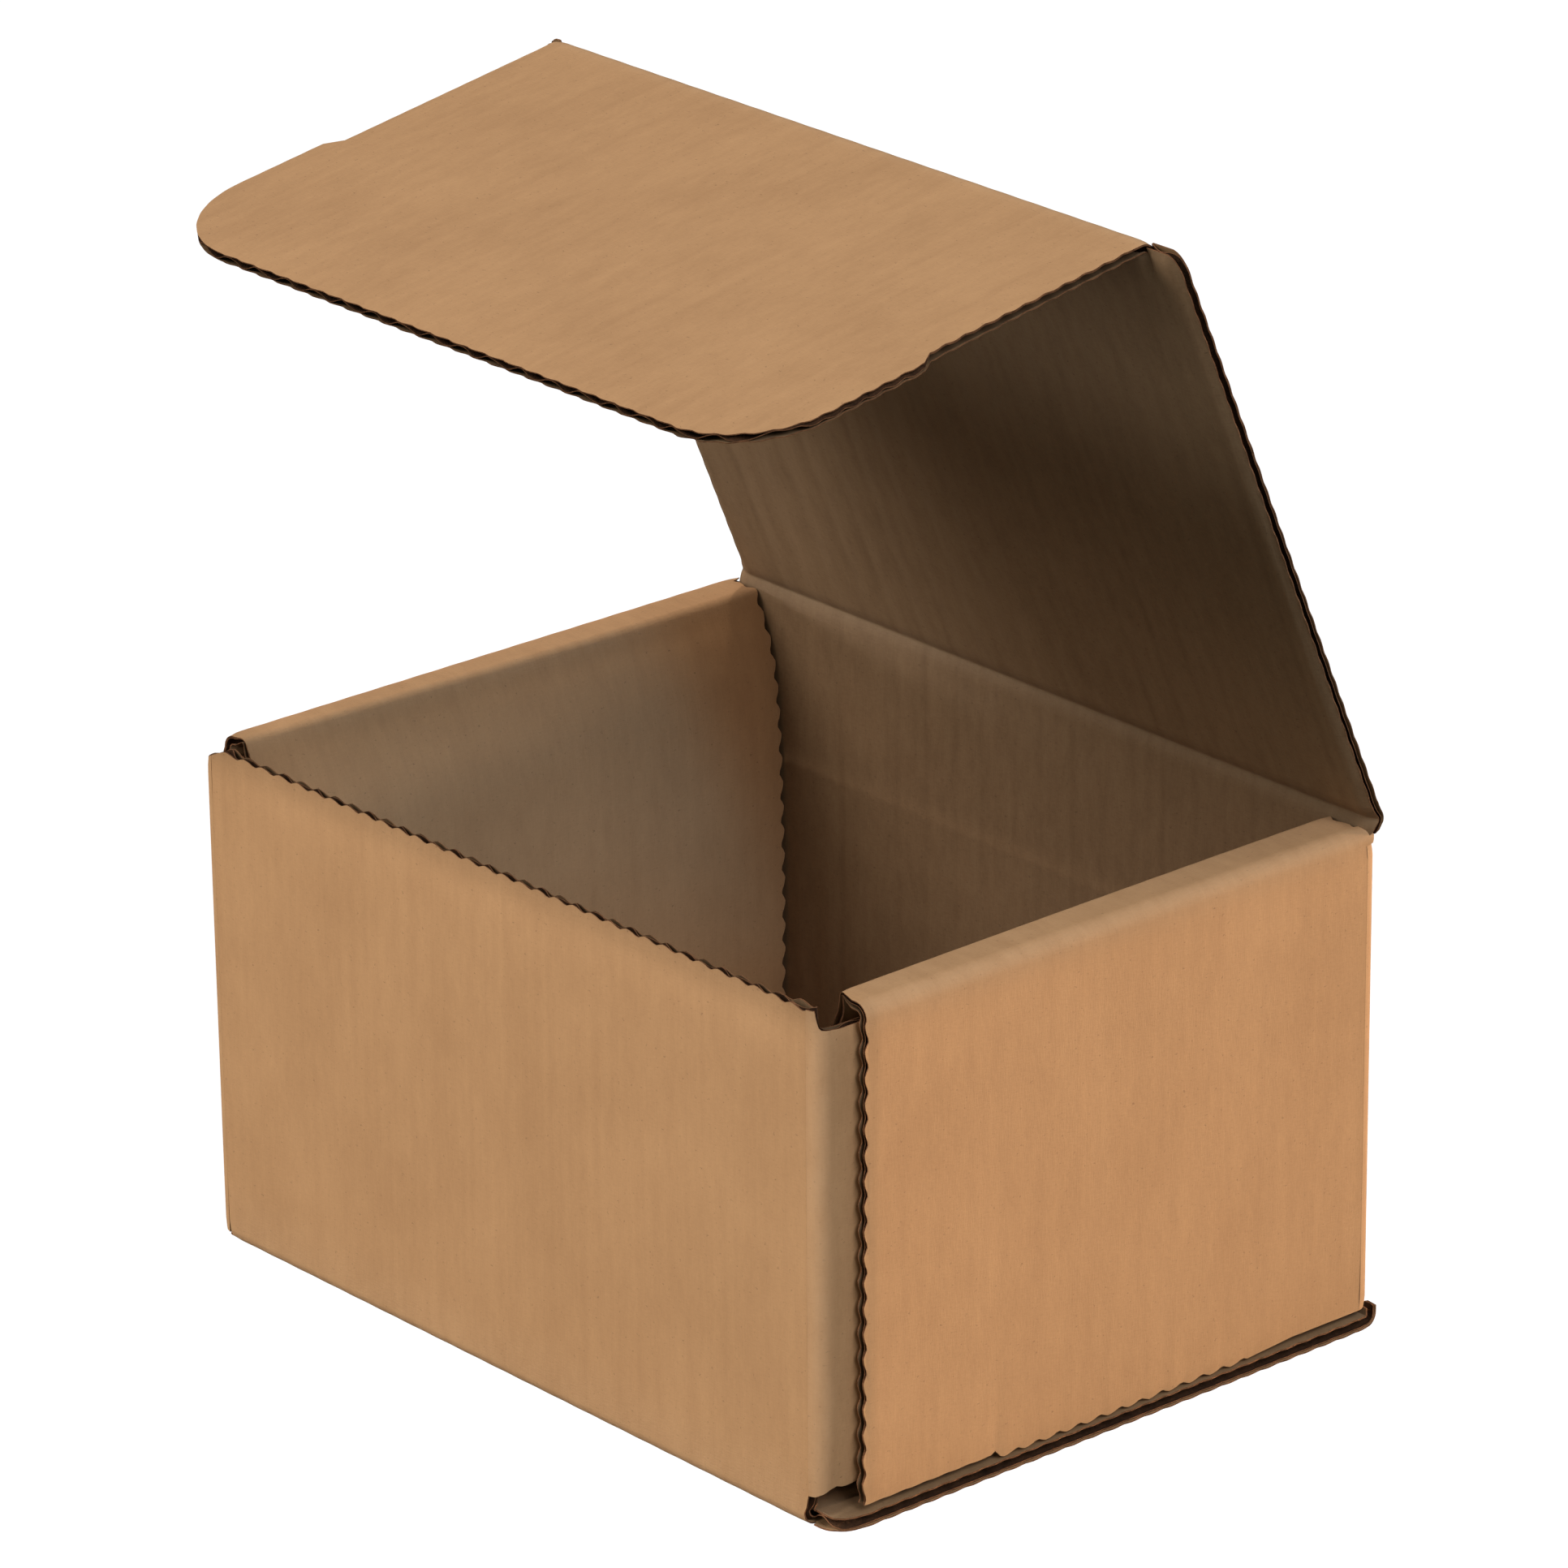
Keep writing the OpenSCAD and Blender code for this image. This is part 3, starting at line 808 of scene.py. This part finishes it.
def sideOutline(frontTop, frontFoot, rollFront):
    points = [(side["innerBack"], innerEnd), (side["tab"], innerEnd), (side["tab"], sidePath.length())]
    points += [(-side["tab"], sidePath.length()), (-side["tab"], innerEnd)]
    lapFoot = (side["innerFront"], innerTop + side["rollLap"])
    points += cutLine((side["innerFront"], innerEnd), lapFoot)
    points += [lapFoot, (rollFront, innerTop), (frontTop, flatStart + 1.4)]
    points += cutLine((frontTop, rollStart), (frontFoot, side["foot"]), side["frontDepth"])
    points += cutLine((frontFoot, side["foot"]), (side["restFront"], side["foot"]), side["footDepth"])
    points += [(side["restFront"], side["foot"] + 0.5)]
    restFrom = (side["restFront"] + 1.1, side["restFoot"])
    points += cutLine(restFrom, (side["restBack"], side["restFoot"]), side["restDepth"])
    points += [(side["restBack"], side["restFoot"]), (side["restBack"] + side["restSlope"], side["foot"])]
    points += [(side["outerBack"], side["foot"]), (side["outerBack"], rollStart - 0.3)]
    points += [(y, rollStart + up) for y, up in side["rollEnd"]] + [(side["innerBack"], rollStart + 4.0)]
    points += cutLine((side["innerBack"], rollStart + 4.4), (side["innerBack"], innerEnd))
    return points


def makeSide(name, frontTop, frontFoot, rollFront, taper, mirror):
    cuts = sidePath.cuts() + [rollStart - 2.2]
    folds = (rollStart + 2.0, flatStart + side["rollFlat"] + 1.4)
    return makePanel(
        name, sideOutline(frontTop, frontFoot, rollFront), cuts, placeSide(taper), mirror=mirror,
        joins=((0, side["outerBack"]),), sheetAt=(sheetPlace["side"], 0, 1, 1),
        wear=lambda s, t: 0.7 * near(t, folds[0], 1.6) + 0.7 * near(t, folds[1], 1.6),
    )


# the upright crease between an outer ply and the back wall
turnPath = FoldPath((box["halfL"], side["outerBack"]), 90).turn(board["creaseRadius"], 90)


def placeTurn(s, t, h):
    x, y = turnPath.place(s, h)
    return x, y, t


def makeTurn(name, mirror):
    outline = [(0, side["foot"]), (turnLength, side["foot"]), (turnLength, rollStart), (0, rollStart)]
    return makePanel(name, outline, [], placeTurn, mirror=mirror, joins=((0, 0), (0, turnLength)),
                     wear=lambda s, t: 0.8 * near(s, 1.9, 2.0),
                     sheetAt=(sheetPlace["side"] + side["outerBack"], 0, 1, 1))


trayBoard = joinPanels("trayBoard", [
    baseBoard,
    makeCorner("cornerRight", cornerRight, placeCorner, False),
    makeCorner("cornerLeft", cornerLeft, placeLeftCorner, True),
    makeTurn("turnRight", False),
    makeTurn("turnLeft", True),
])
# front edge at the top and at the foot, inner ply's front edge under the roll, taper
sideRight = makeSide("sideWallRight", -45.8, -46.6, side["innerFront"], (1.2, -0.2), False)
sideLeft = makeSide("sideWallLeft", -47.7, -47.7, -47.2, (3.1, 0.1), True)
for piece in (trayBoard, sideRight, sideLeft):
    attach(piece, "tray")
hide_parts("tray")
print("tray dressed")

# lid, its hinge along x at t = 0
lid = {
    "hingeY": 51.9,
    "hingeZ": 81.4,
    "open": 67.4,
    "length": 101.3,
    "neck": 63.9,
    "rightFront": 69.9,
    "rightBack": 71.8,
    "left": 66.8,
    "rightDepth": 0.3,
    "leftDepth": 0.15,
    "cornerRadius": 2.5,
    "cornerOut": 0.4,
    "start": 2.6,  # the hinge crease ends here
    "end": 97.6,  # and the tuck crease begins here
}
lidTurn = math.radians(lid["open"])


# a point of the closed lid, behind the hinge y and above it z, brought to the open lid
def openLid(y, z):
    return (lid["hingeY"] + y * math.cos(lidTurn) + z * math.sin(lidTurn),
            lid["hingeZ"] - y * math.sin(lidTurn) + z * math.cos(lidTurn))


def placeLid(s, t, h):
    y, z = openLid(-t, board["thick"] / 2 - h)
    return s, y, z


def lidOutline():
    front = lid["length"] + lid["cornerOut"]
    r = lid["cornerRadius"]
    corners = []
    rightSide = (lid["rightFront"], lid["rightBack"], lid["rightDepth"])
    leftSide = (lid["left"], lid["left"], lid["leftDepth"])
    for sideX, backX, depth in (rightSide, leftSide):
        edge = [(lid["neck"], -lid["end"]), (lid["neck"], -front)]
        edge += cutArc((sideX - r, -front + r), r, -90, 0, depth)
        edge += cutLine((sideX, -front + r), (backX, -lid["start"]), depth)
        edge += [(backX, -lid["start"])]
        corners.append(edge)
    whole = corners[0] + mirrored(corners[1])
    return [(s, -t) for s, t in whole]


lidBoard = makePanel("lidBoard", lidOutline(), [lid["end"] - d for d in pinch["rows"]], placeLid,
                     sheetAt=(0, sheetPlace["lid"], 1, 1), bendStep=12, joins=((1, lid["start"]), (1, lid["end"])))
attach(lidBoard, "lid")
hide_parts("lid")
print("lid dressed")

# tuck flap, its crease at t = 0
tuck = {
    "fold": 76.8,
    "halfNeck": 63.6,
    "halfEar": 65.5,
    "earFrom": 43.0,
    "length": 76.3,
    "radiusRight": 15.0,
    "radiusLeft": 17.0,
    "freeDepth": 0.35,
    "rightDepth": 0.55,
    "leftDepth": 0.06,
    "earStep": 1.9,
    "start": 3.6,
}
tuckTurn = math.radians(tuck["fold"])


def placeTuck(s, t, h):
    z = board["thick"] / 2 - h
    y = -t * math.cos(tuckTurn) - z * math.sin(tuckTurn)
    up = -t * math.sin(tuckTurn) + z * math.cos(tuckTurn)
    y, z = openLid(y - lid["length"], up)
    return s, y, z


def tuckHalf(radius, depth):
    ear = tuck["halfEar"]
    edge = cutArc((ear - radius, radius - tuck["length"]), radius, -90, 0, depth)
    edge += cutLine((ear, radius - tuck["length"]), (ear, -tuck["earFrom"]), depth)
    neckStart = (tuck["halfNeck"], -tuck["start"])
    edge += cutLine((tuck["halfNeck"], -tuck["earFrom"] + tuck["earStep"]), neckStart, depth)
    return edge + [neckStart]


def tuckOutline():
    left, right = tuck["halfEar"] - tuck["radiusLeft"], tuck["halfEar"] - tuck["radiusRight"]
    whole = cutLine((-left, -tuck["length"]), (right, -tuck["length"]), tuck["freeDepth"])
    whole += tuckHalf(tuck["radiusRight"], tuck["rightDepth"])
    whole += mirrored(tuckHalf(tuck["radiusLeft"], tuck["leftDepth"]))
    return [(s, -t) for s, t in whole]


tuckBoard = makePanel("tuckBoard", tuckOutline(), [], placeTuck, sheetAt=(0, sheetPlace["tuck"], 1, 1),
                      bendStep=12, joins=((1, tuck["start"]),))
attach(tuckBoard, "tuck_flap")
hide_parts("tuck_flap")
print("tuck flap dressed")

# hinge crease from the back wall into the lid, pressed flat by the creasing rule
hinge = {
    "radius": 4.0,
    "press": 0.55,
    "pressWidth": 1.5,
    "bulge": 0.3,
    "bulgeFrom": 60,
    "bulgeOver": 10,
    "rightEnd": [(70.3, 0), (71.0, 0.8), (71.5, 2.2)],
    "leftEnd": [(-68.2, 2.5)],
    "blendFrom": (0, 0.0525, 0.0799),  # metres
    "blendTo": (0, 0.0517, 0.0828),
}
# meet: from the hinge axis to where the outer faces meet
meet = board["thick"] / 2 * math.tan((math.pi / 2 - lidTurn) / 2)
reach = hinge["radius"] * math.tan((math.pi / 2 - lidTurn) / 2)
hingePath = FoldPath((box["halfW"], base["backTop"]), 90)
hingePath.run(lid["hingeZ"] + meet - reach - base["backTop"], 2)
hingePath.turn(hinge["radius"], 90 - lid["open"], 6)
hingePath.run(lid["start"] + meet - reach, 2)
hingeMiddle = lid["hingeZ"] + meet - reach - base["backTop"] + hinge["radius"] * (math.pi / 2 - lidTurn) / 2


def pressed(t, h, middle, settings):
    inner = h / board["thick"]
    return h - settings["press"] * inner * near(t, middle, settings["pressWidth"])


def placeHinge(s, t, h):
    y, z = hingePath.place(t, pressed(t, h, hingeMiddle, hinge))
    along = np.sin(np.pi * np.clip(t / hingePath.length(), 0, 1)) ** 2
    y = y + hinge["bulge"] * smooth((s - hinge["bulgeFrom"]) / hinge["bulgeOver"]) * along
    return s, y, z


hingeOutline = [
    (-base["backX"], 0), *hinge["rightEnd"], (lid["rightBack"], hingePath.length()),
    (-lid["left"], hingePath.length()), *hinge["leftEnd"],
]
hingeCrease = makePanel("hingeCrease", hingeOutline, hingePath.cuts(), placeHinge, bendStep=0.8,
                        joins=((1, 0), (1, hingePath.length())),
                        wear=lambda s, t: near(t, hingeMiddle, 1.6), sheetAt=(0, basePath.length(), 1, 1))
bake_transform(hingeCrease)

# tuck crease from the lid into the tuck flap
tuckCreaseSet = {"radius": 2.7, "press": 0.25, "pressWidth": 1.6, "blendReach": 2.2}
meet2 = board["thick"] / 2 * math.tan(tuckTurn / 2)
reach2 = tuckCreaseSet["radius"] * math.tan(tuckTurn / 2)
tuckPath = FoldPath((-lid["end"], board["thick"] / 2), 180)
tuckPath.run(lid["length"] + meet2 - reach2 - lid["end"], 2).turn(tuckCreaseSet["radius"], tuck["fold"], 12)
tuckPath.run(tuck["start"] + meet2 - reach2, 2)
tuckMiddle = lid["length"] + meet2 - reach2 - lid["end"] + tuckCreaseSet["radius"] * tuckTurn / 2


def placeTuckCrease(s, t, h):
    y, z = tuckPath.place(t, pressed(t, h, tuckMiddle, tuckCreaseSet))
    y, z = openLid(y, z)
    return s, y, z


creaseEnd = tuckPath.length()
tuckCreaseOutline = [
    (-lid["neck"], 0), (lid["neck"], 0), (tuck["halfNeck"], creaseEnd), (-tuck["halfNeck"], creaseEnd),
]
tuckCrease = makePanel("tuckCrease", tuckCreaseOutline, tuckPath.cuts(), placeTuckCrease, bendStep=0.8,
                       joins=((1, 0), (1, creaseEnd)), wear=lambda s, t: near(t, tuckMiddle, 2.0),
                       sheetAt=(0, sheetPlace["lid"] + lid["end"], 1, 1))
# two points in the middle of the board, on the lid and on the tuck flap near the crease; they are worked out here
# and not used
_, lidY, lidZ = placeLid(0, lid["length"] - tuckCreaseSet["blendReach"], board["thick"] / 2)
_, tuckY, tuckZ = placeTuck(0, tuckCreaseSet["blendReach"], board["thick"] / 2)
lidY * mm
lidZ * mm
tuckY * mm
tuckZ * mm
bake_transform(tuckCrease)
print("creases made")

# floor and backdrop: white to the camera, and it keeps a soft shadow
stageSet = {"size": 6.0, "pale": 0.82, "glow": 0.9, "glowStrength": 1.1, "bounce": 0.1}


def makeStage():
    half = stageSet["size"] / 2
    mesh = bpy.data.meshes.new("floor")
    mesh.from_pydata([(-half, -half, 0), (half, -half, 0), (half, half, 0), (-half, half, 0)], [], [(0, 1, 2, 3)])
    floor = bpy.data.objects.new("floor", mesh)
    bpy.context.scene.collection.objects.link(floor)
    material, tree = newMaterial("paleFloor")
    rays = addNode(tree, "ShaderNodeLightPath")
    matt = addNode(tree, "ShaderNodeBsdfDiffuse", None, {"Color": (*[stageSet["pale"]] * 3, 1)})
    glow = addNode(tree, "ShaderNodeEmission", None, {"Color": (1, 1, 1, 1), "Strength": stageSet["glowStrength"]})
    shown = addNode(tree, "ShaderNodeMixShader", None, {0: stageSet["glow"], 1: matt, 2: glow})
    grey = (*[stageSet["bounce"]] * 3, 1)
    unseen = addNode(tree, "ShaderNodeBsdfDiffuse", None, {"Color": grey})  # little light comes back up from it
    both = addNode(tree, "ShaderNodeMixShader", None, {0: rays, 1: unseen, 2: shown})
    addNode(tree, "ShaderNodeOutputMaterial", None, {"Surface": both})
    mesh.materials.append(material)


makeStage()
light = {
    "world": {"colour": (0.9, 0.98, 0.94, 1), "strength": 0.3},
    "lamps": [
        {"name": "leftKey", "at": (-0.81, -1.351, 1.216), "aim": (0, 0, 0.08), "size": (1.0, 1.0),
         "spread": 180, "power": 18.5, "colour": (0.9, 0.9, 0.92)},
        {"name": "rightTop", "at": (1.485, -0.148, 1.336), "aim": (0, 0, 0.08), "size": (1.0, 1.0),
         "spread": 180, "power": 25, "colour": (0.76, 0.81, 0.93)},
        {"name": "leftTop", "at": (-1.401, -0.28, 1.401), "aim": (0, 0, 0.08), "size": (1.0, 1.0),
         "spread": 180, "power": 5, "colour": (1, 0.7, 0.6)},
        # narrow beams, each on one part: front wall, right side wall, left roll, left inner ply,
        # the lid's inside near its tuck crease and at its left edge
        {"name": "frontBeam", "at": (0, -0.343, 0.094), "aim": (0, -0.0531, 0.0165), "size": (0.2, 0.12),
         "spread": 2, "power": 0.0335, "colour": (0.96, 0.92, 0.9)},
        {"name": "sideBeam", "at": (0.1994, 0.3164, 0.019), "aim": (0.075, 0.0004, 0.019), "size": (0.0512, 0.12),
         "spread": 2, "power": 0.0252, "colour": (1, 0.73, 0.5)},
        {"name": "rollBeam", "at": (-0.12, 0.02, 0.33), "aim": (-0.065, 0.02, 0.08), "size": (0.13, 0.014),
         "spread": 2, "power": 0.0014, "colour": (1, 0.92, 0.85)},
        {"name": "innerBeam", "at": (0.25, 0.002, 0.198), "aim": (-0.057, 0.002, 0.058), "size": (0.1, 0.056),
         "spread": 9, "power": 0.0038, "colour": (0.12, 0.42, 0.8)},
        {"name": "lidTopBeam", "at": (0.05, -0.5, 0.03), "aim": (0.03, 0.02, 0.155), "size": (0.13, 0.03),
         "spread": 4, "power": 0.0019, "colour": (0.84, 0.92, 1)},
        {"name": "lidBeam", "at": (-0.33, -0.23, 0.15), "aim": (-0.064, 0.032, 0.12), "size": (0.025, 0.1),
         "spread": 10, "power": 0.004, "colour": (0.9, 0.95, 1)},
    ],
}


def makeLights():
    for chosen in light["lamps"]:
        data = bpy.data.lights.new(chosen["name"], "AREA")
        data.shape = "RECTANGLE"
        data.size, data.size_y = chosen["size"]
        data.spread = math.radians(chosen["spread"])
        data.energy = chosen["power"]
        data.color = chosen["colour"]
        lamp = bpy.data.objects.new(chosen["name"], data)
        lamp.location = chosen["at"]
        aim = Vector(chosen["aim"]) - Vector(chosen["at"])
        lamp.rotation_euler = aim.to_track_quat("-Z", "Y").to_euler()
        bpy.context.scene.collection.objects.link(lamp)
    world = bpy.data.worlds.new("studio")
    world.use_nodes = True
    tree = world.node_tree
    tree.nodes.clear()
    rays = addNode(tree, "ShaderNodeLightPath")
    sky = addNode(tree, "ShaderNodeBackground", None, {
        "Color": light["world"]["colour"], "Strength": light["world"]["strength"],
    })
    white = addNode(tree, "ShaderNodeBackground", None, {"Color": (1, 1, 1, 1), "Strength": 1.0})
    both = addNode(tree, "ShaderNodeMixShader", None, {0: rays, 1: sky, 2: white})
    addNode(tree, "ShaderNodeOutputWorld", None, {"Surface": both})
    bpy.context.scene.world = world


makeLights()
bpy.context.scene.view_settings.view_transform = "Standard"

# the photograph's view: a long lens from the front right, a little above
view = {
    "azimuth": 48.96,
    "elevation": 21.75,
    "roll": -0.40,
    "lens": 11644.11 / 1932 * 36,
    "distance": 1410.98,
    "right": -0.08,
    "up": -73.95,
}


def makeCamera():
    az, el, roll = (math.radians(view[k]) for k in ("azimuth", "elevation", "roll"))
    back = Vector((math.sin(az) * math.cos(el), -math.cos(az) * math.cos(el), math.sin(el)))
    right = Vector((math.cos(az), math.sin(az), 0))
    up = back.cross(right)
    rolledRight = math.cos(roll) * right + math.sin(roll) * up
    rolledUp = -math.sin(roll) * right + math.cos(roll) * up
    data = bpy.data.cameras.new("camera")
    data.sensor_width = 36
    data.lens = view["lens"]
    data.clip_start = 0.05
    data.clip_end = 20
    camera = bpy.data.objects.new("camera", data)
    turned = Matrix((rolledRight, rolledUp, back)).transposed().to_4x4()
    at = (back * view["distance"] - rolledRight * view["right"] - rolledUp * view["up"]) * mm
    camera.matrix_world = Matrix.Translation(at) @ turned
    bpy.context.scene.collection.objects.link(camera)
    bpy.context.scene.camera = camera


makeCamera()
